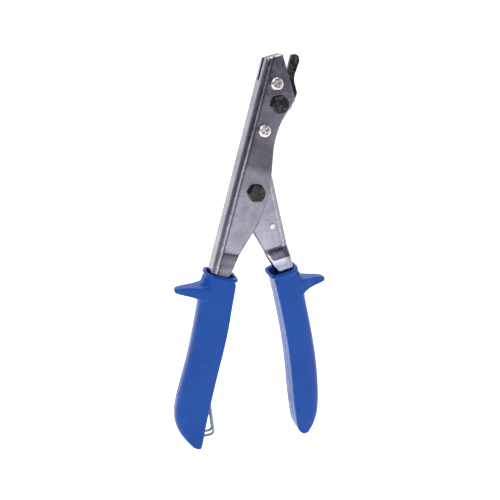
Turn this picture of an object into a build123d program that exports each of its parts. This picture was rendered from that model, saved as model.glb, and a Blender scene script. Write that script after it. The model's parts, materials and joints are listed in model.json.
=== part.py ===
from build123d import *
from math import acos, atan2, cos, degrees, hypot, radians, sin
import os

# Hand nibbler for roofing and siding sheet, stood upright with its handles open.
# Millimetres. +X towards the moving handle, +Z up, the front face looks to -Y.
# Every joint axis runs along Y. Both arms are folded steel channels that cross at the
# main pivot. Squeezing the handles swings the top of the moving arm, whose drive pin
# sits in the forked tail of the blade, so the blade's finger swings the other way into
# the slot between the two die plates.

# ------------------------------------------------------------------ driving dimensions
PIVOT_X = 2.777              # main pivot, where the arms cross
PIVOT_Z = 181.15
PIVOT_SPACING = 55.8        # main pivot to blade pivot
DRIVE_RADIUS = 27.0         # main pivot to drive pin
HANDLE_SWING = 19.0         # degrees that the moving arm closes by
DRIVE_PAST_CENTRE = 4.5     # degrees past the line of pivots when closed

FIXED_LEAN = 15.3           # how far each arm leans out from the vertical, degrees
MOVING_LEAN = 13.3
FIXED_GRIP_LEAN = 11.2
MOVING_GRIP_LEAN = 8.95

FIXED_DEPTH = 15.3          # folded back of an arm to the main pivot
MOVING_DEPTH = 13.4
FIXED_HALF = 6.9            # half the outside width of each channel, along Y
MOVING_HALF = 4.0
FLARE_HALF = 6.9            # what the moving arm spreads to at its shank
FLARE_TOP = -41.5
FLARE_BOTTOM = -47.5
FLARE_R = 5
FIXED_SHEET = 2.4
MOVING_SHEET = 2.0
FIXED_PANEL = 0.45          # depth of the pressed panel on each cheek
MOVING_PANEL = 0.35
SCOOP_R = 36.0              # pressed hollow under each panel
SCOOP_DEPTH = 0.85
BORDER = 3.5                # raised border left beside the fold

DIE_GAP_HALF = 1.6          # half the slot between the die plates
BLADE_HALF = 1.4
BOLT_R = 3.0
BOLT_HEAD_AF = 10.0         # across flats
BOLT_HEAD_H = 4.0
BLADE_SLEEVE_R = 4.5
MAIN_SLEEVE_R = 4.0
RUNNING = 0.05              # radial clearance of a running fit

SCREW_R = 2.0
SCREW_HEAD_R = 4.2
SCREW_HEAD_H = 2.6
SCREW_X = 9.9               # from the fixed arm's back
SCREW_Y = (38.4, 67.0)      # above the main pivot, along the arm

DRIVE_PIN_R = 2.5
DRIVE_SLEEVE_R = 3.2
FORK_CLEARANCE = 0.2
FORK_TINE = 2.2

COLLAR_HALF = 11.0
COLLAR_Y = -57.0            # top of a collar, along its arm
COLLAR_THICK = 3.2
MOUTH_DEPTH = 9.0
GRIP_HALF = 9.0
SHANK_LENGTH = 72.0         # how far an arm runs on inside its grip
SHANK_WIDTH = 13.0

WIRE_R = 0.9                # latch bail
BAIL_HALF = 2.6
BAIL_SLOT_HALF = 4.0
BAIL_STUB_END = 6.8

FAR = 200.0                 # past any edge of the tool


# ------------------------------------------------------------------ frames
def frame(side, lean, origin):
    """Frame with x towards the other arm, y up a line leaning out by lean degrees.

    side is 1 for the fixed arm, on the left, and -1 for the moving arm.
    """
    angle = radians(lean)
    return Plane(origin=origin, x_dir=(side * cos(angle), 0, -sin(angle)), z_dir=(0, -side, 0))


def arm_frame(side, lean, depth):
    """Frame of one arm: x = 0 is its folded back, and the main pivot is at (depth, 0)."""
    upright = frame(side, lean, (PIVOT_X, 0, PIVOT_Z))
    return Plane(
        origin=upright.from_local_coords((-depth, 0, 0)), x_dir=upright.x_dir, z_dir=upright.z_dir
    )


def view_frame(x, z):
    """Frame seen from the front: x right, y up, z towards the viewer."""
    return Plane(origin=(x, 0, z), x_dir=(1, 0, 0), z_dir=(0, -1, 0))


FIXED = arm_frame(1, FIXED_LEAN, FIXED_DEPTH)
MOVING = arm_frame(-1, MOVING_LEAN, MOVING_DEPTH)
FIXED_COLLAR_X = (-3.6, 18.8)       # collar's extent, from the arm's back
MOVING_COLLAR_X = (-3.6, 17.1)
FIXED_GRIP = frame(1, FIXED_GRIP_LEAN, FIXED.from_local_coords((18.8, -59.2, 0)))
MOVING_GRIP = frame(-1, MOVING_GRIP_LEAN, MOVING.from_local_coords((17.1, -60.3, 0)))
BLADE_PIVOT = FIXED.from_local_coords((FIXED_DEPTH, PIVOT_SPACING, 0))
PIVOT_VIEW = view_frame(PIVOT_X, PIVOT_Z)
BLADE_VIEW = view_frame(BLADE_PIVOT.X, BLADE_PIVOT.Z)


# ------------------------------------------------------------------ the blade's drive
def blade_angle(drive):
    """Blade angle, in degrees from the line of pivots, with the drive pin at drive degrees."""
    along = PIVOT_SPACING - DRIVE_RADIUS * cos(radians(drive))
    return degrees(atan2(DRIVE_RADIUS * sin(radians(drive)), along))


DRIVE_OPEN = HANDLE_SWING - DRIVE_PAST_CENTRE
BLADE_SWING = blade_angle(DRIVE_OPEN) + blade_angle(DRIVE_PAST_CENTRE)
BLADE_RATIO = BLADE_SWING / HANDLE_SWING
DRIVE_PIN_AT = FIXED.from_local_coords((
    FIXED_DEPTH - DRIVE_RADIUS * sin(radians(DRIVE_OPEN)), DRIVE_RADIUS * cos(radians(DRIVE_OPEN)), 0,
))
PIN_IN_ARM = MOVING.to_local_coords(DRIVE_PIN_AT)
PIN_IN_BLADE = BLADE_VIEW.to_local_coords(DRIVE_PIN_AT)


# ------------------------------------------------------------------ shape helpers
def face(*corners):
    """Closed flat face from (x, y, corner radius) points."""
    line = FilletPolyline(
        *[(x, y) for x, y, r in corners], radius=[r for x, y, r in corners], close=True
    )
    return make_face(line)


def slab(outline, low, high):
    """Flat face of a frame's x-y plane, thickened from z = low to z = high."""
    return Pos(0, 0, low) * extrude(outline, high - low)


def disc(x, y, radius, low, high):
    """Round bar along z."""
    return Pos(x, y, low) * extrude(Circle(radius), high - low)


def ring(x, y, inner, outer, low, high):
    """Tube along z."""
    return disc(x, y, outer, low, high) - disc(x, y, inner, low - 1, high + 1)


def both_sides(shape):
    """A shape and its mirror image across the tool's middle plane."""
    return [shape, mirror(shape, about=Plane.XY)]


def long_edges(solid, half, x_low, x_high, shortest):
    """Edges on the two cheek faces, between two x values."""
    return [
        edge for edge in solid.edges()
        if abs(abs(edge.center().Z) - half) < 0.01
        and x_low < edge.center().X < x_high and edge.length > shortest
    ]


# ------------------------------------------------------------------ outlines
SHANK_BEND = FIXED_LEAN - FIXED_GRIP_LEAN


def shank_end(x, bend):
    """Point at the hidden end of a shank that starts at x, with the collar's height."""
    return (x + SHANK_LENGTH * sin(radians(bend)), COLLAR_Y - 3 - SHANK_LENGTH * cos(radians(bend)))


def with_shank(corners, bend, last_x):
    """Close an arm's outline down its inner edge, round the shank's end and up its back."""
    inner = shank_end(last_x, bend)
    back = shank_end(0, bend)
    return face(
        *corners, (last_x, COLLAR_Y - 3, 12), (inner[0], inner[1], 2), (back[0], back[1], 2),
        (0, COLLAR_Y - 3, 30),
    )


def fixed_outline():
    """Cheek of the fixed arm: head, waist, pivot boss, taper and shank."""
    return with_shank(
        (
            (0, 79.8, 1), (9.3, 85.0, 1), (25.1, 60.8, 2), (19.3, 44.5, 40), (19.3, 31, 40),
            (24.8, 3, 14), (23.2, -18, 20), (15.6, -42, 30),
        ),
        SHANK_BEND, SHANK_WIDTH,
    )


def moving_outline():
    """Cheek of the moving arm: drive-pin eye, pivot boss, diagonal inner edge and shank."""
    eye = 4.9
    pin_x = PIN_IN_ARM.X
    pin_y = PIN_IN_ARM.Y
    return with_shank(
        (
            (0, 8.5, 3), (pin_x - eye, pin_y + 1, 4.5), (pin_x + eye, pin_y + eye, 4.5),
            (21.2, 7, 8), (21.4, -22, 14),
        ),
        MOVING_LEAN - MOVING_GRIP_LEAN, 10.2,
    )


def envelope(outline, half):
    """Outside shape of a folded channel, without its hollow."""
    solid = extrude(outline, half, both=True)
    return fillet(long_edges(solid, half, -1, 5, 20), half * 0.4)


def channel_hollow(sheet, bend):
    """Side view of what is taken out of a channel, all but its back."""
    shift = shank_end(sheet, bend)
    return face(
        (sheet, FAR, 0), (sheet, COLLAR_Y - 3, 30), (shift[0] * 2 - sheet, shift[1] * 2 - COLLAR_Y, 0),
        (FAR, -FAR, 0), (FAR, FAR, 0),
    )


def channel(outline, half, sheet, bend):
    """Folded U channel that opens towards +x."""
    hollow = channel_hollow(sheet, bend)
    cavity = fillet(
        long_edges(extrude(hollow, half - sheet, both=True), half - sheet, 0, 20, 100), sheet * 0.4
    )
    return envelope(outline, half) - cavity


def flared(flat, grow):
    """A flat shape given the moving arm's depth, which spreads at the shank, plus grow."""
    narrow = MOVING_HALF + grow
    wide = FLARE_HALF + grow
    side = [(FAR, narrow, 0), (FLARE_TOP, narrow, FLARE_R), (FLARE_BOTTOM, wide, FLARE_R), (-FAR, wide, 0)]
    profile = face(*side, *[(y, -z, radius) for y, z, radius in reversed(side)])
    return extrude(flat, wide, both=True) & extrude(Plane.YZ * profile, FAR, both=True)


def moving_envelope():
    """Outside of the moving arm, rounded along its folds."""
    solid = flared(moving_outline(), 0)
    folds = [
        edge for edge in solid.edges()
        if abs(edge.center().Z) > MOVING_HALF - 0.01
        and edge.center().X < 5 and abs(edge.tangent_at(0.5).Y) > 0.7 and edge.length > 4
    ]
    return fillet(folds, MOVING_HALF * 0.4)


def panels(half, depth, bottom):
    """Two shallow cuts that leave a raised border beside the fold."""
    flat = face((BORDER, bottom, 2), (FAR, bottom, 0), (FAR, FAR, 0), (BORDER, FAR, 0))
    return both_sides(slab(flat, half - depth, half + 1))


def scoops(half, top):
    """Two shallow round-bottomed hollows across the cheeks, just above the collar."""
    half_chord = (2 * SCOOP_R * SCOOP_DEPTH - SCOOP_DEPTH ** 2) ** 0.5
    drum = Rot(0, 90, 0) * Cylinder(SCOOP_R, FAR, align=(Align.CENTER, Align.CENTER, Align.MIN))
    place = Pos(BORDER + 0.2, top - half_chord, half - SCOOP_DEPTH + SCOOP_R)
    return both_sides(place * drum)


# ------------------------------------------------------------------ fixed arm
def body_channel():
    solid = channel(fixed_outline(), FIXED_HALF, FIXED_SHEET, SHANK_BEND)
    for cut in panels(FIXED_HALF, FIXED_PANEL, -42.5):
        solid -= cut
    for y in (0, PIVOT_SPACING):
        solid -= disc(FIXED_DEPTH, y, BOLT_R, -FAR, FAR)
    for y in SCREW_Y:
        solid -= disc(SCREW_X, y, SCREW_R, -FAR, FAR)
    for cut in scoops(FIXED_HALF, -42.5):
        solid -= cut
    chip_slot = extrude(SlotOverall(40, 2 * DIE_GAP_HALF, rotation=90), 10)
    solid -= Pos(-5, 66.0 + 20, 0) * Rot(0, 90, 0) * chip_slot
    gauge_hole = Pos(4.9, 69.4, FIXED_HALF - FIXED_SHEET) * extrude(Rectangle(1.8, 1.8), FIXED_SHEET)
    return FIXED * (solid - gauge_hole)


def die_plate(low, high):
    """Hardened plate inside one cheek of the head, whose edge shears the sheet."""
    head = Pos(3.4 + FAR / 2, 32.9 + FAR / 2) * Rectangle(FAR, FAR)
    plate = slab(fixed_outline() & head, low, high)
    plate -= disc(FIXED_DEPTH, PIVOT_SPACING, BOLT_R, -FAR, FAR)
    for y in SCREW_Y:
        plate -= disc(SCREW_X, y, SCREW_R, -FAR, FAR)
    return FIXED * plate


def screw(x, y):
    """Pan-head cross-recess screw, its head resting on the cheek's panel."""
    seat = FIXED_HALF - FIXED_PANEL
    head = disc(x, y, SCREW_HEAD_R, seat, seat + SCREW_HEAD_H)
    head = fillet(head.edges().sort_by(Axis.Z)[-1], SCREW_HEAD_H * 0.75)
    slot_length = SCREW_HEAD_R * 1.15
    slot_depth = SCREW_HEAD_H * 0.55
    for angle in (45, 135):
        cross = Rot(0, 0, angle) * Box(slot_length, 1.1, slot_depth)
        head -= Pos(x, y, seat + SCREW_HEAD_H - slot_depth / 2) * cross
    return head + disc(x, y, SCREW_R, DIE_GAP_HALF + 0.1, seat)


def front_die_screws():
    return Compound([FIXED * screw(SCREW_X, y) for y in SCREW_Y])


def rear_die_screws():
    rear = [mirror(screw(SCREW_X, y), about=Plane.XY) for y in SCREW_Y]
    return Compound([FIXED * shape for shape in rear])


def hexagon(height):
    """Hexagon bar with its upper corners chamfered by a cone."""
    corner_r = BOLT_HEAD_AF / 3 ** 0.5
    bar = extrude(RegularPolygon(corner_r, 6), height)
    cone = Pos(0, 0, height - 10) * Cone(corner_r + 15, BOLT_HEAD_AF * 0.46, 20)
    return bar & cone


def pivot_bolt(y, turn):
    """Hex bolt through both cheeks, its head in front."""
    seat = FIXED_HALF - FIXED_PANEL
    head = Pos(FIXED_DEPTH, y, seat) * Rot(0, 0, turn) * hexagon(BOLT_HEAD_H)
    return FIXED * (head + disc(FIXED_DEPTH, y, BOLT_R, -seat - BOLT_HEAD_H, seat))


def pivot_nut(y, turn):
    seat = FIXED_HALF - FIXED_PANEL
    nut = mirror(Pos(FIXED_DEPTH, y, seat) * Rot(0, 0, turn) * hexagon(BOLT_HEAD_H), about=Plane.XY)
    return FIXED * (nut - disc(FIXED_DEPTH, y, BOLT_R, -FAR, 0))


def main_pivot_sleeve():
    half = FIXED_HALF - FIXED_SHEET
    return FIXED * ring(FIXED_DEPTH, 0, BOLT_R, MAIN_SLEEVE_R, -half, half)


def blade_pivot_sleeve():
    return FIXED * ring(
        FIXED_DEPTH, PIVOT_SPACING, BOLT_R, BLADE_SLEEVE_R, -DIE_GAP_HALF, DIE_GAP_HALF
    )


def pivot_washers():
    """Thrust washers between the two channels."""
    washer = ring(
        FIXED_DEPTH, 0, MAIN_SLEEVE_R, 7.4,
        MOVING_HALF - MOVING_PANEL + 0.08, FIXED_HALF - FIXED_SHEET,
    )
    return Compound([FIXED * shape for shape in both_sides(washer)])


# ------------------------------------------------------------------ moving arm
RIVET_X = 7.3
RIVET_Y = -25.5
RIVET_R = 1.4


def moving_arm():
    hollow = channel_hollow(MOVING_SHEET, MOVING_LEAN - MOVING_GRIP_LEAN)
    solid = moving_envelope() - flared(hollow, -MOVING_SHEET)
    for cut in panels(MOVING_HALF, MOVING_PANEL, -40.5):
        solid -= cut
    inner = MOVING_HALF - MOVING_SHEET
    solid -= slab(face((-1, 6.5, 0), (FAR, 6.5, 0), (FAR, FAR, 0), (-1, FAR, 0)), -inner, inner)
    solid -= disc(MOVING_DEPTH, 0, MAIN_SLEEVE_R + RUNNING, -FAR, FAR)
    solid -= disc(PIN_IN_ARM.X, PIN_IN_ARM.Y, DRIVE_PIN_R, -FAR, FAR)
    solid -= disc(RIVET_X, RIVET_Y, RIVET_R, -FAR, FAR)
    return MOVING * solid


def drive_pin():
    half = MOVING_HALF - MOVING_PANEL
    return MOVING * disc(PIN_IN_ARM.X, PIN_IN_ARM.Y, DRIVE_PIN_R, -half, half)


def drive_sleeve():
    half = MOVING_HALF - MOVING_SHEET - 0.05
    return MOVING * ring(PIN_IN_ARM.X, PIN_IN_ARM.Y, DRIVE_PIN_R, DRIVE_SLEEVE_R, -half, half)


def spring_rivet():
    """Rivet through the moving arm that the return spring's leg pushes on."""
    seat = MOVING_HALF - MOVING_PANEL
    head = disc(RIVET_X, RIVET_Y, 1.9, seat, seat + 0.6)
    head = fillet(head.edges().sort_by(Axis.Z)[-1], 0.45)
    heads = both_sides(head)
    return MOVING * (disc(RIVET_X, RIVET_Y, RIVET_R, -seat, seat) + heads[0] + heads[1])


# ------------------------------------------------------------------ return spring
def return_spring():
    """Torsion spring round the main sleeve: one leg on the body's web, one on the rivet."""
    wire_r = 0.45
    coil_r = MAIN_SLEEVE_R + 1.0
    pitch = 0.96
    web = PIVOT_VIEW.to_local_coords(FIXED.from_local_coords((FIXED_SHEET + wire_r + 0.05, -17, 0)))
    rivet = PIVOT_VIEW.to_local_coords(
        MOVING.from_local_coords((RIVET_X + RIVET_R + wire_r + 0.1, RIVET_Y - 1.5, 0))
    )
    start = degrees(atan2(web.Y, web.X)) + degrees(acos(coil_r / hypot(web.X, web.Y)))
    end = degrees(atan2(rivet.Y, rivet.X)) - degrees(acos(coil_r / hypot(rivet.X, rivet.Y)))
    turns = (end - start) / 360 % 1 + 2
    height = turns * pitch
    path = Pos(0, 0, -height / 2) * Rot(0, 0, start) * Helix(pitch, height, coil_r)
    coil = sweep(Plane(origin=path @ 0, z_dir=path % 0) * Circle(wire_r), path)
    legs = []
    for tip, joint, z in ((web, path @ 0, -height / 2), (rivet, path @ 1, height / 2)):
        run = Line((joint.X, joint.Y, z), (tip.X, tip.Y, z))
        legs.append(sweep(Plane(origin=run @ 0, z_dir=run % 0) * Circle(wire_r), run))
        legs.append(Pos(joint.X, joint.Y, z) * Sphere(wire_r))
    return PIVOT_VIEW * (coil + legs)


# ------------------------------------------------------------------ blade
def blade():
    """Hook finger, hub and forked tail, one flat hardened plate."""
    finger = face(
        (8.8, 28.8, 0.8), (13.6, 29.8, 3), (14.0, 25, 3), (10.4, 15, 9), (13.1, 6, 4),
        (8, -6, 6), (-6, -4, 6), (-5, 7, 5), (4.6, 12, 3),
    )
    hub = Circle(8.8)
    reach = hypot(PIN_IN_BLADE.X, PIN_IN_BLADE.Y)
    slot_half = DRIVE_SLEEVE_R + FORK_CLEARANCE
    tail_half = slot_half + FORK_TINE
    nearest = PIVOT_SPACING - DRIVE_RADIUS
    tail_end = reach + 1.4
    tail = face(
        (7.4, 0, 2), (tail_half, -nearest + 8, 14), (tail_half, -tail_end, 1),
        (-tail_half, -tail_end, 1), (-tail_half, -nearest + 8, 14), (-7.4, 0, 2),
    )
    slot = Pos(0, -nearest - FAR / 2) * Rectangle(2 * slot_half, FAR) + Pos(0, -nearest) * Circle(slot_half)
    swing = degrees(atan2(PIN_IN_BLADE.X, -PIN_IN_BLADE.Y))
    flat = finger + hub + Rot(0, 0, swing) * (tail - slot)
    solid = slab(flat, -BLADE_HALF, BLADE_HALF)
    return BLADE_VIEW * (solid - disc(0, 0, BLADE_SLEEVE_R + RUNNING, -FAR, FAR))


# ------------------------------------------------------------------ grips
FIXED_GRIP_INNER = (
    (-1.0, 0), (-0.8, -13), (-0.2, -33), (-0.6, -50), (-1.9, -70), (-2.6, -90), (-3.3, -119.5),
)
FIXED_GRIP_OUTER = (
    (-14.8, -119.2), (-19.8, -113.6), (-24.6, -103), (-25.7, -90), (-24.3, -71.7), (-23.0, -56.8),
    (-22.6, -38), (-22.5, -20), (-22.4, 2.5),
)
MOVING_GRIP_INNER = (
    (-2.2, 0), (-3.2, -13), (-4.2, -28), (-4.8, -46), (-4.5, -70), (-3.0, -96), (-2.7, -119),
)
MOVING_GRIP_OUTER = (
    (-15.8, -120.4), (-20.0, -113), (-23.4, -101), (-24.7, -88), (-25.4, -70), (-25.0, -52),
    (-24.3, -36), (-23.2, -20), (-22.4, 2.5),
)
SPUR = (
    (-18, -5.4, 0), (-25.5, -6.3, 6), (-33, -7.9, 14), (-39.8, -9.8, 1.7), (-39, -12.9, 1.5),
    (-30, -13.6, 14), (-18, -15.4, 0),
)
SPUR_PLAN = (
    (-16, 8.7, 0), (-21, 8.7, 3), (-27, 5.6, 10), (-41, 2.6, 2.4), (-41, -2.6, 2.4),
    (-27, -5.6, 10), (-21, -8.7, 3), (-16, -8.7, 0),
)
TIP = (-4.4, -124.6)


def grip_outline(inner, outer):
    """Side view of a grip: a swelling sleeve that ends in a slanted beak."""
    edges = [
        Spline(*inner), Line(inner[-1], TIP), Line(TIP, outer[0]), Spline(*outer),
        Line(outer[-1], inner[0]),
    ]
    flat = make_face(edges)
    beak = flat.vertices().sort_by(Axis.Y)[0]
    return fillet(beak, 2)


def grip_body(inner, outer):
    """Sleeve with a flat inner face and a rounded palm side."""
    solid = extrude(grip_outline(inner, outer), GRIP_HALF, both=True)
    palm = long_edges(solid, GRIP_HALF, -30, -10, 40)
    solid = fillet(palm, 6)
    return fillet(long_edges(solid, GRIP_HALF, -9, 3, 60), 1.4)


def spur(drop):
    """Outward stop, broad at its root, drop below the place that the outline gives it."""
    plan = Rot(90, 0, 0) * extrude(face(*SPUR_PLAN), 40, both=True)
    return Pos(0, -drop, 0) * (extrude(face(*SPUR), GRIP_HALF, both=True) & plan)


def collar(extent):
    """Rolled ring round an arm, square to it."""
    low, high = extent
    flat = Pos((low + high) / 2, 0) * RectangleRounded(high - low, 2 * COLLAR_HALF, 6)
    ring_solid = extrude(Plane.XZ * flat, COLLAR_THICK)
    ring_solid = fillet(ring_solid.edges(), 1.3)
    return Pos(0, COLLAR_Y, 0) * ring_solid


def mouth(extent):
    """Open mouth inside a collar, wider than the arm that goes in."""
    low, high = extent
    wall = 2.6
    flat = RectangleRounded(high - low - 2 * wall, 2 * (COLLAR_HALF - wall), 3.4)
    hole = extrude(Plane.XZ * Pos((low + high) / 2, 0) * flat, MOUTH_DEPTH)
    return Pos(0, COLLAR_Y, 0) * fillet(hole.edges().sort_by(Axis.Y)[0], 1)


def grip(grip_frame, inner, outer, drop, arm, extent, shank):
    """One moulded sleeve, with the mouth and the pocket that its arm goes into."""
    solid = grip_frame * (grip_body(inner, outer) + spur(drop))
    solid += arm * collar(extent)
    return solid - arm * (shank + mouth(extent))


def left_grip():
    solid = grip(
        FIXED_GRIP, FIXED_GRIP_INNER, FIXED_GRIP_OUTER, 0.1, FIXED, FIXED_COLLAR_X,
        envelope(fixed_outline(), FIXED_HALF),
    )
    slot = face((FAR, BAIL_TOP, 0), (-13.6, BAIL_TOP, 2), (-11.5, -FAR, 0), (FAR, -FAR, 0))
    solid -= FIXED_GRIP * slab(slot, -BAIL_SLOT_HALF, BAIL_SLOT_HALF)
    bore = disc(*BAIL_PIVOT, WIRE_R + RUNNING, -BAIL_STUB_END - 0.3, BAIL_STUB_END + 0.3)
    return solid - FIXED_GRIP * bore


def right_grip():
    return grip(
        MOVING_GRIP, MOVING_GRIP_INNER, MOVING_GRIP_OUTER, -0.6, MOVING, MOVING_COLLAR_X,
        moving_envelope(),
    )


# ------------------------------------------------------------------ latch bail
BAIL_PIVOT = (-7.0, -118.2)
BAIL_ELBOW = (5.2, -115.3)
BAIL_KNEE = (-4.5, -82.6)
BAIL_TIP = (-9.6, -83.6)
BAIL_TOP = -79.6            # top of the slot that the bail folds into


def latch_bail():
    """Wire bail: two legs, a cross bar at the far end and two stubs at the pivot."""
    x, y = BAIL_PIVOT
    side = [BAIL_PIVOT, BAIL_ELBOW, BAIL_KNEE, BAIL_TIP]
    points = [(x, y, BAIL_STUB_END)]
    points += [(px, py, BAIL_HALF) for px, py in side]
    points += [(px, py, -BAIL_HALF) for px, py in reversed(side)]
    points += [(x, y, -BAIL_STUB_END)]
    bends = [1.2, 2.6, 1.5, 1.2, 1.2, 1.5, 2.6, 1.2]
    path = FilletPolyline(*points, radius=bends)
    return FIXED_GRIP * sweep(Plane(origin=path @ 0, z_dir=path % 0) * Circle(WIRE_R), path)


# ------------------------------------------------------------------ write the parts
def parts():
    """Every piece of the tool, by node name."""
    return {
        "body_channel": body_channel(),
        "front_die_plate": die_plate(DIE_GAP_HALF, FIXED_HALF - FIXED_SHEET),
        "rear_die_plate": die_plate(FIXED_SHEET - FIXED_HALF, -DIE_GAP_HALF),
        "front_die_screws": front_die_screws(),
        "rear_die_screws": rear_die_screws(),
        "main_pivot_bolt": pivot_bolt(0, 12),
        "main_pivot_nut": pivot_nut(0, 20),
        "main_pivot_sleeve": main_pivot_sleeve(),
        "main_pivot_washers": pivot_washers(),
        "blade_pivot_bolt": pivot_bolt(PIVOT_SPACING, 25),
        "blade_pivot_nut": pivot_nut(PIVOT_SPACING, 5),
        "blade_pivot_sleeve": blade_pivot_sleeve(),
        "return_spring": return_spring(),
        "left_grip": left_grip(),
        "latch_bail": latch_bail(),
        "moving_arm_channel": moving_arm(),
        "drive_pin": drive_pin(),
        "drive_sleeve": drive_sleeve(),
        "spring_rivet": spring_rivet(),
        "right_grip": right_grip(),
        "blade": blade(),
    }


os.makedirs("parts", exist_ok=True)
for name, shape in parts().items():
    export_step(shape, f"parts/{name}.step")

bail_pivot = FIXED_GRIP.from_local_coords((*BAIL_PIVOT, 0))
print("main pivot", round(PIVOT_X, 3), round(PIVOT_Z, 3))
print("blade pivot", round(BLADE_PIVOT.X, 3), round(BLADE_PIVOT.Z, 3))
print("bail pivot", round(bail_pivot.X, 3), round(bail_pivot.Z, 3))
print("blade ratio", round(-BLADE_RATIO, 4), "blade swing", round(BLADE_SWING, 3))
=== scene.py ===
import json
from math import cos, radians, sin

import bmesh
import bpy
from mathutils import Matrix, Vector
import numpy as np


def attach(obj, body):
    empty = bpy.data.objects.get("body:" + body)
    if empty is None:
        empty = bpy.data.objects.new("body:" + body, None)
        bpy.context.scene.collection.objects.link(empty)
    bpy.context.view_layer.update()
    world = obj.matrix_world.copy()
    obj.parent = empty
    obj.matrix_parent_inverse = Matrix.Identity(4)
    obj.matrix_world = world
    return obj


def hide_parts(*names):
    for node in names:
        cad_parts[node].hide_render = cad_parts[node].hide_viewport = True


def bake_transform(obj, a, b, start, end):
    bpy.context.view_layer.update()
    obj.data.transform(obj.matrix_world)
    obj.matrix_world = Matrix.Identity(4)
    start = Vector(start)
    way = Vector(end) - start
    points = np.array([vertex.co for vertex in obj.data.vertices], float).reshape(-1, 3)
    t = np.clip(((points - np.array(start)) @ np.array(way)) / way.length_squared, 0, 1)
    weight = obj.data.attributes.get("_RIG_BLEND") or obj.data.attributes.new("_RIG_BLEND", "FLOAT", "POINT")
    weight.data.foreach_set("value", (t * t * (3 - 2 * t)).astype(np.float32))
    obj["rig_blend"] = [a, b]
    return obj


# Hand nibbler: CAD metalwork with procedural finishes, and moulded grips as subdivision
# meshes. Lengths in the tables are millimetres, in the same frame as the CAD.
MM = 0.001
PIVOT = Vector((2.777, 0, 181.15))       # main pivot

# Angles in degrees that the arms and the grips lean out by.
FIXED_LEAN = 15.3
MOVING_LEAN = 13.3
FIXED_GRIP_LEAN = 11.2
MOVING_GRIP_LEAN = 8.95

# How deep the main pivot is in each arm, and the inner top corner of each grip in its arm's frame.
FIXED_DEPTH = 15.3
MOVING_DEPTH = 13.4
FIXED_GRIP_TOP = Vector((18.8, -59.2, 0))
MOVING_GRIP_TOP = Vector((17.1, -60.3, 0))

ARM_SPAN = 140.0            # length that a steel arm's shading is measured in
HEAD_TOP = 70.0             # where that length starts, above the main pivot
STEP_DEPTH = 3.5            # where the pressed panel starts, from the arm's back

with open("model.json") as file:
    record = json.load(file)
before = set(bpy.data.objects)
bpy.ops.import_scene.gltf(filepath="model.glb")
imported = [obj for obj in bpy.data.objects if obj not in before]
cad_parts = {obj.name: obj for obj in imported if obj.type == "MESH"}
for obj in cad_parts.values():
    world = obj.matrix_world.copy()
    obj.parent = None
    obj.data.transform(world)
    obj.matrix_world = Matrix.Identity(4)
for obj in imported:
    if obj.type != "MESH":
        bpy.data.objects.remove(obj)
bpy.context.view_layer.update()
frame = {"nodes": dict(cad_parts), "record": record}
nodes = frame["nodes"]


# ------------------------------------------------------------------ frames
def local_frame(side, lean, origin):
    """Matrix whose x points towards the other arm and whose y leans out by lean degrees."""
    angle = radians(lean)
    x_axis = Vector((side * cos(angle), 0, -sin(angle)))
    z_axis = Vector((0, -side, 0))
    y_axis = z_axis.cross(x_axis)
    matrix = Matrix((x_axis, y_axis, z_axis)).transposed().to_4x4()
    matrix.translation = origin
    return matrix


def arm_frame(side, lean, depth):
    """Frame of an arm: x = 0 is its folded back, and the main pivot is at (depth, 0)."""
    matrix = local_frame(side, lean, PIVOT)
    matrix.translation = matrix @ Vector((-depth, 0, 0))
    return matrix


FIXED = arm_frame(1, FIXED_LEAN, FIXED_DEPTH)
MOVING = arm_frame(-1, MOVING_LEAN, MOVING_DEPTH)
FIXED_GRIP = local_frame(1, FIXED_GRIP_LEAN, FIXED @ FIXED_GRIP_TOP)
MOVING_GRIP = local_frame(-1, MOVING_GRIP_LEAN, MOVING @ MOVING_GRIP_TOP)


# ------------------------------------------------------------------ node helpers
# Colour sockets of a Mix node, whose sockets share their names with other data types.
MIX_FIRST = 6
MIX_SECOND = 7
MIX_RESULT = 2

# Noise values where a finish starts and ends its way from a low to a high value.
NOISE_LOW = 0.3
NOISE_HIGH = 0.7
NOISE_PEAK = 0.75


def darker(colour, share):
    """A share of a colour's brightness."""
    return tuple(share * value for value in colour)


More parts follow.
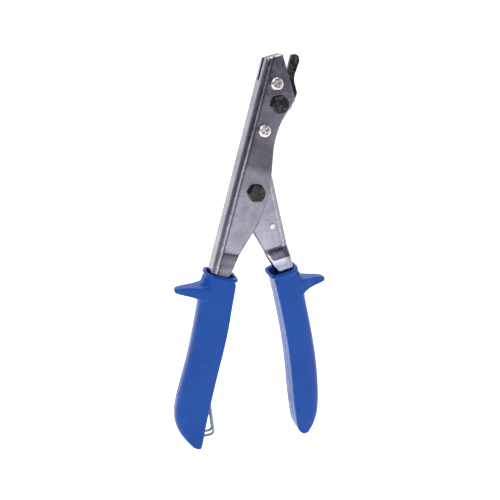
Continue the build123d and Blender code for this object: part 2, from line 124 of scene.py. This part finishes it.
class Shader:
    """Small builder for a Principled material."""

    def __init__(self, name):
        self.material = bpy.data.materials.new(name)
        self.material.use_nodes = True
        self.tree = self.material.node_tree
        self.bsdf = self.tree.nodes["Principled BSDF"]
        self.coordinates = self.tree.nodes.new("ShaderNodeTexCoord").outputs["Object"]

    def set(self, **values):
        """Sets the shader's own sockets, with underscores for spaces."""
        for key, value in values.items():
            self.bsdf.inputs[key.replace("_", " ")].default_value = value

    def link(self, output, socket):
        self.tree.links.new(output, self.bsdf.inputs[socket])

    def stretched(self, scale):
        """Object coordinates scaled per axis."""
        mapping = self.tree.nodes.new("ShaderNodeMapping")
        mapping.vector_type = "TEXTURE"
        mapping.inputs["Scale"].default_value = scale
        self.tree.links.new(self.coordinates, mapping.inputs["Vector"])
        return mapping.outputs["Vector"]

    def noise(self, scale, detail=3.0, rough=0.5, vector=None):
        """Noise value, with its scale in features a metre."""
        node = self.tree.nodes.new("ShaderNodeTexNoise")
        node.inputs["Scale"].default_value = scale
        node.inputs["Detail"].default_value = detail
        node.inputs["Roughness"].default_value = rough
        self.tree.links.new(vector or self.coordinates, node.inputs["Vector"])
        return node.outputs["Fac"]

    def ramp(self, value, stops):
        """Colour or grey ramp from (position, value) stops."""
        node = self.tree.nodes.new("ShaderNodeValToRGB")
        ramp = node.color_ramp
        while len(ramp.elements) < len(stops):
            ramp.elements.new(0.5)
        for element, (position, colour) in zip(ramp.elements, stops):
            element.position = position
            element.color = (colour,) * 3 + (1,) if isinstance(colour, float) else (*colour, 1)
        self.tree.links.new(value, node.inputs["Fac"])
        return node.outputs["Color"]

    def between(self, value, low, high, top=NOISE_HIGH):
        """Ramp from a low to a high value over the middle of a noise's range."""
        return self.ramp(value, ((NOISE_LOW, low), (top, high)))

    def multiply(self, first, second):
        """Two colours multiplied."""
        node = self.tree.nodes.new("ShaderNodeMix")
        node.data_type = "RGBA"
        node.blend_type = "MULTIPLY"
        node.inputs["Factor"].default_value = 1.0
        self.tree.links.new(first, node.inputs[MIX_FIRST])
        self.tree.links.new(second, node.inputs[MIX_SECOND])
        return node.outputs[MIX_RESULT]

    def scaled(self, value, amount):
        """A value about 0.5 turned into one about nought, made smaller."""
        node = self.tree.nodes.new("ShaderNodeMath")
        node.operation = "MULTIPLY_ADD"
        node.inputs[1].default_value = amount
        node.inputs[2].default_value = -amount / 2
        self.tree.links.new(value, node.inputs[0])
        return node.outputs[0]

    def along(self, axis, start, wander=None):
        """How far a point is along an axis from a start, as a share of ARM_SPAN, plus a wander."""
        axis = Vector(axis).to_3d()
        dot = self.tree.nodes.new("ShaderNodeVectorMath")
        dot.operation = "DOT_PRODUCT"
        dot.inputs[1].default_value = axis
        self.tree.links.new(self.coordinates, dot.inputs[0])
        scale = self.tree.nodes.new("ShaderNodeMath")
        scale.operation = "MULTIPLY_ADD"
        scale.inputs[1].default_value = 1 / (ARM_SPAN * MM)
        scale.inputs[2].default_value = -axis.dot(start) / ARM_SPAN
        self.tree.links.new(dot.outputs["Value"], scale.inputs[0])
        if wander is None:
            return scale.outputs[0]
        total = self.tree.nodes.new("ShaderNodeMath")
        self.tree.links.new(scale.outputs[0], total.inputs[0])
        self.tree.links.new(wander, total.inputs[1])
        return total.outputs[0]

    def mixed(self, factor, first, second):
        """A grey value and a colour mixed by a factor."""
        node = self.tree.nodes.new("ShaderNodeMix")
        node.data_type = "RGBA"
        self.tree.links.new(factor, node.inputs["Factor"])
        node.inputs[MIX_FIRST].default_value = (first, first, first, 1)
        self.tree.links.new(second, node.inputs[MIX_SECOND])
        return node.outputs[MIX_RESULT]

    def bump(self, height, strength, distance):
        """Adds a bump on top of what already drives the normal."""
        node = self.tree.nodes.new("ShaderNodeBump")
        node.inputs["Strength"].default_value = strength
        node.inputs["Distance"].default_value = distance
        self.tree.links.new(height, node.inputs["Height"])
        if self.bsdf.inputs["Normal"].is_linked:
            before = self.bsdf.inputs["Normal"].links[0].from_socket
            self.tree.links.new(before, node.inputs["Normal"])
        self.link(node.outputs["Normal"], "Normal")


# Plated steel's pattern across an arm, with painted shade along the fold and under the step and a painted
# highlight on the step's edge.
STEP = STEP_DEPTH / ARM_SPAN
PANEL_START = 1.3           # where a panel's own shading is full, in depths of the step
FOLD_SHADE = 0.6             # how deep the painted shade in the fold is, as a share of the painted shade under the step
BACK_LEVEL = 1.12           # brightness of the folded back, of the painted highlight on the step's edge, and of the panel
EDGE_HIGHLIGHT = 1.3
PANEL_LEVEL = 0.95
WANDER = 0.016              # how uneven the lines between them are, as a share of ARM_SPAN
GRAIN_LEVELS = ((0.35, 0.86), (0.6, 1.04))      # brightness over the grain's noise


def levels_across(step_shade):
    """Brightness from an arm's folded back inward: the back, the fold's painted shade, the step edge's
    painted highlight, the painted shade under the step, and the panel.
    """
    fold = 1 - FOLD_SHADE + FOLD_SHADE * step_shade
    levels = (
        (0.0, BACK_LEVEL), (0.15, BACK_LEVEL), (0.3, fold), (0.68, fold), (0.8, EDGE_HIGHLIGHT),
        (0.98, EDGE_HIGHLIGHT), (1.06, step_shade), (1.25, step_shade), (1.5, PANEL_LEVEL), (1 / STEP, PANEL_LEVEL),
    )
    return [(STEP * depth, level) for depth, level in levels]


def plated_steel(name, matrix, colours, step_shade, shade):
    """Plated sheet: clouded plating, painted shade beside the fold and the step, a painted highlight on the
    step's edge, and painted shade, highlights and reflections down the panel.
    """
    shader = Shader(name)
    shader.set(Metallic=1.0)
    clouds = shader.noise(60, detail=6, rough=0.62)
    grain = shader.noise(520, detail=4, rough=0.65)
    wander = shader.scaled(grain, WANDER)
    across = shader.along(matrix.col[0], matrix.translation, wander)
    down = shader.along(-matrix.col[1], matrix @ Vector((0, HEAD_TOP, 0)), wander)
    on_panel = shader.ramp(across, ((STEP, 0.0), (STEP * PANEL_START, 1.0)))
    colour = shader.between(clouds, *colours)
    # Painted shade along the fold and under the step, and a painted highlight on the step's edge.
    colour = shader.multiply(colour, shader.ramp(across, levels_across(step_shade)))
    # Painted shade, highlights and reflections down the panel.
    colour = shader.multiply(colour, shader.mixed(on_panel, 1.0, shader.ramp(down, shade)))
    colour = shader.multiply(colour, shader.ramp(grain, GRAIN_LEVELS))
    shader.link(colour, "Base Color")
    shader.link(shader.between(grain, 0.17, 0.27, NOISE_PEAK), "Roughness")
    shader.bump(clouds, strength=0.22, distance=0.0005)
    shader.bump(grain, strength=0.08, distance=0.0002)
    return shader.material


def bright_nickel(name):
    """Screw and washer finish: warm, polished, faintly blotched."""
    shader = Shader(name)
    shader.set(Metallic=1.0)
    blotches = shader.noise(400, rough=0.6)
    shader.link(shader.between(blotches, (0.50, 0.465, 0.44), (0.66, 0.62, 0.60)), "Base Color")
    shader.link(shader.between(blotches, 0.22, 0.34), "Roughness")
    shader.bump(shader.noise(1500, detail=2), strength=0.05, distance=0.0001)
    return shader.material


def black_oxide(name):
    """Blackened steel: dark, oily, with paler wear in patches."""
    shader = Shader(name)
    shader.set(IOR=1.5, Specular_IOR_Level=0.35)
    patches = shader.noise(420, detail=5, rough=0.7)
    stops = ((0.35, (0.002, 0.002, 0.002)), (0.52, (0.006, 0.005, 0.006)), (0.66, (0.06, 0.056, 0.062)))
    shader.link(shader.ramp(patches, stops), "Base Color")
    shader.link(shader.between(patches, 0.16, 0.34, NOISE_PEAK), "Roughness")
    shader.bump(shader.noise(1400, rough=0.6), strength=0.08, distance=0.0001)
    return shader.material


def ground_steel(name, colour):
    """Hardened steel with grinding lines across Z."""
    shader = Shader(name)
    shader.set(Metallic=1.0)
    lines = shader.noise(60, detail=4, rough=0.6, vector=shader.stretched((1.0, 1.0, 0.03)))
    shader.link(shader.between(lines, darker(colour, 0.75), colour), "Base Color")
    shader.link(shader.between(lines, 0.22, 0.36), "Roughness")
    shader.bump(lines, strength=0.06, distance=0.0001)
    return shader.material


def drawn_wire(name, colour):
    """Spring and latch wire: smooth, with a drawn sheen."""
    shader = Shader(name)
    shader.set(Metallic=1.0)
    mottle = shader.noise(220)
    shader.link(shader.between(mottle, darker(colour, 0.7), colour), "Base Color")
    shader.link(shader.between(mottle, 0.2, 0.34), "Roughness")
    shader.bump(shader.noise(1200, detail=2), strength=0.05, distance=0.0001)
    return shader.material


# Where the left grip's fine stippled pad fades in and out, outward and down from its top,
# in shares of ARM_SPAN.
PAD_ACROSS = ((0.0, 0.0), (0.03, 0.0), (0.05, 1.0), (0.11, 1.0), (0.13, 0.0), (1.0, 0.0))
PAD_DOWN = ((0.0, 0.0), (0.17, 0.0), (0.21, 1.0), (0.62, 1.0), (0.68, 0.0), (1.0, 0.0))


def blue_vinyl(name):
    """Dip-moulded blue plastic: soft gloss, faint flow marks, fine orange peel and a stippled pad."""
    shader = Shader(name)
    shader.set(IOR=1.45, Specular_IOR_Level=0.22)
    flow = shader.noise(30, detail=4, rough=0.55)
    smears = shader.noise(120, detail=4, rough=0.6)
    shader.link(shader.between(flow, (0.001, 0.048, 0.262), (0.003, 0.060, 0.310)), "Base Color")
    shader.link(shader.between(smears, 0.24, 0.34, NOISE_PEAK), "Roughness")
    shader.bump(shader.noise(420), strength=0.05, distance=0.0003)
    across = shader.along(-FIXED_GRIP.col[0], FIXED_GRIP.translation)
    down = shader.along(-FIXED_GRIP.col[1], FIXED_GRIP.translation)
    pad = shader.multiply(shader.ramp(across, PAD_ACROSS), shader.ramp(down, PAD_DOWN))
    shader.bump(shader.multiply(pad, shader.noise(700, rough=0.6)), strength=0.6, distance=0.0006)
    return shader.material


# ------------------------------------------------------------------ grips
# Half of a section, from the middle of its inner face round to its palm side: distance in
# from the inner face in mm, plus a fraction of the section's width, and part of the half depth.
SLEEVE_SECTION = (
    (0.0, 0.0, 0.0), (0.0, 0.0, 0.05), (0.0, 0.0, 0.52), (0.0, 0.0, 0.82), (0.5, 0.0, 0.955),
    (2.0, 0.0, 1.0), (0.0, 0.42, 1.0), (0.0, 0.68, 0.985), (0.0, 0.87, 0.85), (0.0, 0.965, 0.58),
    (0.0, 1.0, 0.29), (0.0, 1.0, 0.0),
)
COLLAR_SECTION = (
    (0.0, 0.0, 0.0), (0.0, 0.0, 0.06), (0.0, 0.0, 0.45), (0.5, 0.0, 0.72), (2.0, 0.0, 0.92),
    (4.6, 0.0, 1.0), (0.0, 0.42, 1.0), (0.0, 0.66, 1.0), (0.0, 0.85, 0.93), (0.0, 0.96, 0.68),
    (0.0, 1.0, 0.34), (0.0, 1.0, 0.0),
)
COLUMNS = len(SLEEVE_SECTION)
GRIP_HALF = 9.0             # half depth of the sleeves
RIB = 0.3                   # parting-line rib on the inner face
FIXED_COLLAR = (-3.6, 18.8)     # where each collar starts and ends across its arm
MOVING_COLLAR = (-3.6, 17.1)
SMOOTHING = 3               # subdivisions of a grip's mesh
END_CREASE = 0.5            # how crisp the rim of a grip's tip and the spur's lower ridges are
RIDGE_CREASE = 0.8

# Rings of the mouth and the rolled collar in the arm's frame, from the bottom of the mouth:
# y along the arm, how far in from the collar's edge, and half depth.
COLLAR_RINGS = (
    (-66.2, 9.0, 3.0), (-65.8, 3.3, 7.1), (-62.0, 2.8, 7.1), (-58.8, 2.6, 7.2), (-57.3, 2.0, 8.0),
    (-56.9, 1.0, 9.7), (-57.4, 0.1, 10.8), (-58.6, 0.0, 11.1), (-59.6, 0.4, 10.7), (-60.2, 1.6, 9.2),
)

# (inner, outer) ends of each section in the grip's frame: outward and down from its top.
LEFT_SECTIONS = (
    ((0.95, 1.8), (22.2, 0.3)), ((0.9, 5), (22.5, 4.0)), ((0.85, 8.5), (22.6, 7.6)),
    ((0.8, 12), (22.6, 11.2)), ((0.75, 15.5), (22.6, 14.8)), ((0.7, 20), (22.6, 19)),
    ((0.4, 27), (22.5, 27)), ((0.3, 38), (22.6, 39)), ((0.8, 52), (22.9, 54)),
    ((1.8, 68), (24.0, 69)), ((2.5, 84), (25.7, 86)), ((2.9, 98), (26.0, 99)),
    ((3.1, 108), (23.6, 109)), ((3.0, 116), (18.8, 116)), ((3.0, 121.5), (14.0, 120.4)),
    ((3.6, 124.6), (10.6, 123.0)),
)
RIGHT_SECTIONS = (
    ((2.3, 1.8), (22.2, 0.3)), ((2.8, 7), (22.6, 5.8)), ((3.0, 10.5), (22.8, 9.6)),
    ((3.3, 14), (22.9, 13.4)), ((3.6, 18), (23.0, 17.2)), ((3.9, 24), (23.3, 24)),
    ((4.4, 34), (24.1, 34)), ((4.8, 46), (24.7, 46)), ((4.8, 60), (25.2, 61)),
    ((4.4, 73), (25.1, 75)), ((3.5, 87), (24.5, 88)), ((2.95, 100), (23.3, 100)),
    ((2.8, 110), (21.6, 110)), ((2.8, 117), (18.8, 117)), ((3.6, 122), (15.6, 121.4)),
    ((6.2, 124.7), (12.0, 124.0)),
)
SPUR_FIRST = 1              # section that the top of the spur's root is on
SPUR_ROWS = 3               # rows of faces in its root
SPUR_COLUMN = 7             # the root spans the columns from this one to its mirror
LEFT_SPUR_DROP = 0.1        # how far each spur is below the places in SPUR_STEPS
RIGHT_SPUR_DROP = -0.6
# Outward reach, top and bottom of each step of the spur, and its half depth.
SPUR_STEPS = (
    (23.8, 6.3, 14.3, 7.3), (26.8, 7.0, 13.9, 5.7), (30.7, 7.8, 13.6, 4.5),
    (35.0, 8.7, 13.2, 3.8), (38.3, 9.8, 12.8, 3.0), (39.4, 10.5, 12.3, 2.1),
)
# Outline of the slot that the bail folds into, in the left grip's frame.
BAIL_SLOT = ((20, -79.6), (-13.6, -79.6), (-11.5, -140), (20, -140))
BAIL_SLOT_HALF = 4.0
SLOT_SHARP = radians(50)    # edges of the slot that turn more than this stay sharp


def section_points(matrix, table, inner, outer, depth, rib):
    """One ring of points round a section, in metres, from the inner middle and back to it."""
    inner = Vector(inner)
    across = Vector(outer) - inner
    width = across.length
    points = []
    for inset, fraction, part in table:
        points.append((inner + across * (inset / width + fraction), part * depth))
    points[0] = (points[0][0] - across / width * rib, 0.0)
    mirrored = [(place, -half) for place, half in reversed(points[1:-1])]
    return [matrix @ Vector((-p.x, -p.y, half)) * MM for p, half in points + mirrored]


def collar_points(matrix, extent, ring):
    """One ring of a collar or its mouth, in metres."""
    y, inset, half = ring
    low, high = extent
    return section_points(
        matrix, COLLAR_SECTION, (inset - high, -y), (-low - inset, -y), half, 0.0
    )


def bridge(mesh, upper, lower):
    """Quads between two rings of the same length."""
    for index in range(len(upper)):
        after = (index + 1) % len(upper)
        mesh.faces.new((upper[index], upper[after], lower[after], lower[index]))


def cap(mesh, ring):
    """Closes a ring with a strip of faces across it."""
    count = len(ring)
    last = count // 2
    mesh.faces.new((ring[0], ring[1], ring[count - 1]))
    for index in range(1, last - 1):
        mesh.faces.new((ring[index], ring[index + 1], ring[count - index - 1], ring[count - index]))
    mesh.faces.new((ring[last - 1], ring[last], ring[last + 1]))


def boundary(grid):
    """What is round the edge of a grid, in order."""
    right = [line[-1] for line in grid[1:-1]]
    left = [line[0] for line in reversed(grid[1:-1])]
    return grid[0] + right + list(reversed(grid[-1])) + left


def grow_spur(mesh, matrix, rings, drop):
    """Pulls the spur out of the sleeve's palm side, a step at a time."""
    columns = range(SPUR_COLUMN, 2 * (COLUMNS - 1) - SPUR_COLUMN + 1)
    width = len(columns) - 1
    rows = rings[SPUR_FIRST:SPUR_FIRST + SPUR_ROWS + 1]
    base = [[ring[column] for column in columns] for ring in rows]
    root = {vert for line in base for vert in line}
    edge = boundary(base)
    covered = [face for face in mesh.faces if root.issuperset(face.verts)]
    bmesh.ops.delete(mesh, geom=covered, context="FACES")
    corners = (width + SPUR_ROWS, 2 * width + SPUR_ROWS)
    ridges = []
    for reach, top, bottom, half in SPUR_STEPS:
        grid = []
        for row in range(SPUR_ROWS + 1):
            down = drop + top + (bottom - top) * row / SPUR_ROWS
            sides = [half * (1 - 2 * column / width) for column in range(width + 1)]
            grid.append([matrix @ Vector((-reach, -down, side)) * MM for side in sides])
        ring = [mesh.verts.new(point) for point in boundary(grid)]
        bridge(mesh, edge, ring)
        ridges += [(edge[corner], ring[corner]) for corner in corners]
        edge = ring
    end = fill_grid(mesh, grid, edge)
    for row in range(SPUR_ROWS):
        for column in range(width):
            mesh.faces.new((
                end[row][column], end[row][column + 1], end[row + 1][column + 1], end[row + 1][column],
            ))
    return ridges


def fill_grid(mesh, grid, edge):
    """Grid of vertices that uses the ring already made round its edge."""
    height = len(grid) - 1
    width = len(grid[0]) - 1
    made = [None] * (height + 1)
    made[0] = edge[:width + 1]
    made[height] = list(reversed(edge[width + height:2 * width + height + 1]))
    for row in range(1, height):
        inner = [mesh.verts.new(point) for point in grid[row][1:-1]]
        made[row] = [edge[2 * width + 2 * height - row]] + inner + [edge[width + row]]
    return made


def crease_edges(mesh, pairs, amount):
    """Creases the edges between pairs of vertices."""
    layers = mesh.edges.layers.float
    layer = layers.get("crease_edge") or layers.new("crease_edge")
    for first, second in pairs:
        edge = mesh.edges.get((first, second))
        if edge:
            edge[layer] = amount


def new_object(name, mesh):
    """Object made from a bmesh, smooth shaded."""
    data = bpy.data.meshes.new(name)
    mesh.to_mesh(data)
    mesh.free()
    data.polygons.foreach_set("use_smooth", [True] * len(data.polygons))
    made = bpy.data.objects.new(name, data)
    bpy.context.collection.objects.link(made)
    return made


def cut_bail_slot(grip):
    """Cuts the slot that the bail folds into out of the finished sleeve."""
    mesh = bmesh.new()
    sides = [
        [mesh.verts.new(FIXED_GRIP @ Vector((x, y, z)) * MM) for x, y in BAIL_SLOT]
        for z in (-BAIL_SLOT_HALF, BAIL_SLOT_HALF)
    ]
    bridge(mesh, sides[0], sides[1])
    mesh.faces.new(sides[0])
    mesh.faces.new(sides[1])
    bmesh.ops.recalc_face_normals(mesh, faces=mesh.faces)
    cutter = new_object("bail_slot_cutter", mesh)
    cut = grip.modifiers.new("slot", "BOOLEAN")
    cut.operation = "DIFFERENCE"
    cut.solver = "EXACT"
    cut.object = cutter
    graph = bpy.context.evaluated_depsgraph_get()
    data = bpy.data.meshes.new_from_object(grip.evaluated_get(graph))
    grip.modifiers.clear()
    grip.data = data
    data.set_sharp_from_angle(angle=SLOT_SHARP)
    bpy.data.objects.remove(cutter)


def make_grip(name, arm, extent, matrix, sections, drop):
    """Moulded sleeve with its open mouth, rolled collar and spur, as one subdivision mesh."""
    mesh = bmesh.new()
    points = [collar_points(arm, extent, ring) for ring in COLLAR_RINGS]
    ribs = [0.0] + [RIB] * (len(sections) - 2) + [0.0]
    for (inner, outer), rib in zip(sections, ribs):
        points.append(section_points(matrix, SLEEVE_SECTION, inner, outer, GRIP_HALF, rib))
    rings = [[mesh.verts.new(point) for point in ring] for ring in points]
    for upper, lower in zip(rings, rings[1:]):
        bridge(mesh, upper, lower)
    cap(mesh, rings[0])
    cap(mesh, rings[-1])
    ridges = grow_spur(mesh, matrix, rings[len(COLLAR_RINGS):], drop)
    end = rings[-1]
    crease_edges(mesh, zip(end, end[1:] + end[:1]), END_CREASE)
    crease_edges(mesh, ridges, RIDGE_CREASE)
    bmesh.ops.recalc_face_normals(mesh, faces=mesh.faces)
    grip = new_object(name, mesh)
    smooth = grip.modifiers.new("smooth", "SUBSURF")
    smooth.levels = SMOOTHING
    smooth.render_levels = SMOOTHING
    return grip


# ------------------------------------------------------------------ finishes
BODY_STEP_SHADE = 0.35            # brightness of the painted shade under each arm's step
ARM_STEP_SHADE = 0.85
# Darkest and palest clouds of each arm's plating.
BODY_PLATING = ((0.165, 0.158, 0.195), (0.34, 0.33, 0.395))
ARM_PLATING = ((0.21, 0.203, 0.245), (0.37, 0.36, 0.44))
# Painted shade, highlights and reflections down each panel, from the top of the head to the grip.
BODY_SHADE = (
    (0.0, 0.85), (0.08, 0.95), (0.24, 0.8), (0.29, 0.42), (0.38, 0.4), (0.42, 0.82), (0.55, 0.98),
    (0.79, 1.05), (0.80, 0.25), (0.82, 0.4), (0.84, 0.6), (0.86, 0.42), (0.88, 0.75), (0.91, 0.95),
    (1.0, 0.8),
)
ARM_SHADE = (
    (0.0, 1.0), (0.784, 1.0), (0.79, 0.4), (0.802, 0.5), (0.82, 2.8), (0.838, 2.4), (0.86, 1.6),
    (0.88, 1.0), (0.905, 1.5), (1.0, 1.5),
)
FINISHES = {
    "plated_steel_body": plated_steel("plated_steel_body", FIXED, BODY_PLATING, BODY_STEP_SHADE, BODY_SHADE),
    "plated_steel_arm": plated_steel("plated_steel_arm", MOVING, ARM_PLATING, ARM_STEP_SHADE, ARM_SHADE),
    "hardened_steel": ground_steel("hardened_steel", (0.36, 0.36, 0.39)),
    "nickel_screws": bright_nickel("nickel_screws"),
    "black_oxide": black_oxide("black_oxide"),
    "spring_wire": drawn_wire("spring_wire", (0.42, 0.42, 0.45)),
    "latch_wire": drawn_wire("latch_wire", (0.26, 0.30, 0.38)),
    "blue_vinyl": blue_vinyl("blue_vinyl"),
}

# Pieces whose sharp edges are rounded, and by how much in mm.
SOFTENED = {"main_pivot_bolt": 0.45, "blade_pivot_bolt": 0.45, "blade": 0.25}
WELD_DISTANCE = 0.01
ROUND_SEGMENTS = 2
ROUND_ANGLE = radians(35)   # edges that turn more than this are rounded

# Where the return spring's blend starts and ends, from the main pivot.
SPRING_START = Vector((1, 0, 0))
SPRING_END = Vector((8, 0, 0))


def finish_nodes():
    """Every CAD node gets its slot's finish, and some get rounded edges."""
    for part in frame["record"]["subparts"]:
        item = nodes[part["node"]]
        item.data.materials.clear()
        item.data.materials.append(FINISHES[part["material_slot"]])
    for name, width in SOFTENED.items():
        soften(nodes[name], width)


def soften(item, width):
    """Rounds an object's sharp edges, so that they catch the light."""
    weld = item.modifiers.new("weld", "WELD")
    weld.merge_threshold = WELD_DISTANCE * MM
    bevel = item.modifiers.new("bevel", "BEVEL")
    bevel.width = width * MM
    bevel.segments = ROUND_SEGMENTS
    bevel.limit_method = "ANGLE"
    bevel.angle_limit = ROUND_ANGLE


def finish_grips():
    """The moulded grips stand for the CAD's plainer ones."""
    left = make_grip(
        "left_grip_moulding", FIXED, FIXED_COLLAR, FIXED_GRIP, LEFT_SECTIONS, LEFT_SPUR_DROP
    )
    cut_bail_slot(left)
    right = make_grip(
        "right_grip_moulding", MOVING, MOVING_COLLAR, MOVING_GRIP, RIGHT_SECTIONS, RIGHT_SPUR_DROP
    )
    for grip, node, body in ((left, "left_grip", "body"), (right, "right_grip", "moving_handle")):
        grip.data.materials.append(FINISHES["blue_vinyl"])
        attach(grip, body)
        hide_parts(node)


def finish_spring():
    """The return spring bends with the moving arm."""
    source = nodes["return_spring"]
    spring = source.copy()
    spring.data = source.data.copy()
    spring.parent = None
    spring.name = "return_spring_wire"
    bpy.context.collection.objects.link(spring)
    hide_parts("return_spring")
    start = (PIVOT + SPRING_START) * MM
    end = (PIVOT + SPRING_END) * MM
    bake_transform(spring, "body", "moving_handle", start=tuple(start), end=tuple(end))


# ------------------------------------------------------------------ stage
# The stage is in metres.
FLOOR_DROP = 0.012          # how far the floor is below the grips, to leave room for the bail's swing
FLOOR_FRONT = -2.5          # front edge of the floor, start of its bend, and the wall's place
BEND_START = 1.5
WALL_PLACE = 2.5
WALL_TOP = 4.0
FLOOR_HALF = 4              # half the floor's width
BEND_STEPS = 9              # steps in its quarter turn, whose radius is a metre

LIGHT_AIM = (0, 0, 0.13)
# Name, place, size and power of each light.
LIGHTS = (
    ("key", (-0.7, -0.8, 1.1), (0.5, 0.5), 9),
    ("fill", (1.0, -0.5, 0.5), (0.8, 0.8), 2.5),
    ("top", (0.1, 0.3, 1.4), (0.9, 0.9), 9),
)

STUDIO_FRONT = (0.38, 0.38, 0.43, 1)
STUDIO_REST = (1, 1, 1, 1)
STUDIO_EDGE = 0.6           # where it has turned white: 0 is straight in front, 1 straight behind
STUDIO_STRENGTH = 0.55

CAMERA_LENS = 45.864        # mm, on a 36 mm sensor
CAMERA_SENSOR = 36
CAMERA_PLACE = Vector((-116.56, -378.54, 91.53))    # mm from the main pivot
CAMERA_AIM = Vector((-2.2, 0, -39.4))


def make_floor():
    """Pale sweep: a floor that curves up into a wall far behind the tool."""
    mesh = bmesh.new()
    profile = [(FLOOR_FRONT, 0.0), (BEND_START, 0.0)]
    for step in range(1, BEND_STEPS + 1):
        angle = radians(90 / BEND_STEPS * step)
        profile.append((BEND_START + sin(angle), 1.0 - cos(angle)))
    profile.append((WALL_PLACE, WALL_TOP))
    rows = [
        [mesh.verts.new((x, y, z - FLOOR_DROP)) for x in (-FLOOR_HALF, FLOOR_HALF)]
        for y, z in profile
    ]
    for near, far in zip(rows, rows[1:]):
        mesh.faces.new((near[0], near[1], far[1], far[0]))
    floor = new_object("floor", mesh)
    shader = Shader("floor")
    shader.set(Base_Color=(0.93, 0.93, 0.93, 1), Roughness=0.85)
    shader.set(Emission_Color=(1, 1, 1, 1), Emission_Strength=0.6)
    floor.data.materials.append(shader.material)


def make_light(name, place, size, power):
    """Soft rectangular light that faces the tool."""
    data = bpy.data.lights.new(name, "AREA")
    data.shape = "RECTANGLE"
    data.size, data.size_y = size
    data.energy = power
    light = bpy.data.objects.new(name, data)
    light.location = place
    light.rotation_euler = (Vector(LIGHT_AIM) - Vector(place)).to_track_quat("-Z", "Y").to_euler()
    bpy.context.collection.objects.link(light)


def make_world():
    """White all round except in front, where a greyer studio darkens the metal's reflections.

    The direction's Y, -1 in front and 1 behind, is made 0 to 1 for the ramp.
    """
    world = bpy.data.worlds.new("studio")
    bpy.context.scene.world = world
    world.use_nodes = True
    tree = world.node_tree
    split = tree.nodes.new("ShaderNodeSeparateXYZ")
    direction = tree.nodes.new("ShaderNodeTexCoord").outputs["Generated"]
    tree.links.new(direction, split.inputs["Vector"])
    ramp = tree.nodes.new("ShaderNodeValToRGB")
    shift = tree.nodes.new("ShaderNodeMath")
    shift.operation = "MULTIPLY_ADD"
    shift.inputs[1].default_value = 0.5
    shift.inputs[2].default_value = 0.5
    tree.links.new(split.outputs["Y"], shift.inputs[0])
    tree.links.new(shift.outputs[0], ramp.inputs["Fac"])
    ramp.color_ramp.elements[0].color = STUDIO_FRONT
    ramp.color_ramp.elements[1].color = STUDIO_REST
    ramp.color_ramp.elements[1].position = STUDIO_EDGE
    tree.links.new(ramp.outputs["Color"], tree.nodes["Background"].inputs["Color"])
    tree.nodes["Background"].inputs["Strength"].default_value = STUDIO_STRENGTH


def make_camera():
    """The photograph's viewpoint: from the left and above, with a 46 mm lens."""
    data = bpy.data.cameras.new("camera")
    data.lens = CAMERA_LENS
    data.sensor_width = CAMERA_SENSOR
    camera = bpy.data.objects.new("camera", data)
    place = PIVOT + CAMERA_PLACE
    aim = PIVOT + CAMERA_AIM
    camera.location = place * MM
    camera.rotation_euler = (aim - place).to_track_quat("-Z", "Y").to_euler()
    bpy.context.collection.objects.link(camera)
    bpy.context.scene.camera = camera


finish_nodes()
finish_grips()
finish_spring()
make_floor()
make_world()
for light in LIGHTS:
    make_light(*light)
make_camera()
bpy.context.scene.view_settings.view_transform = "Standard"
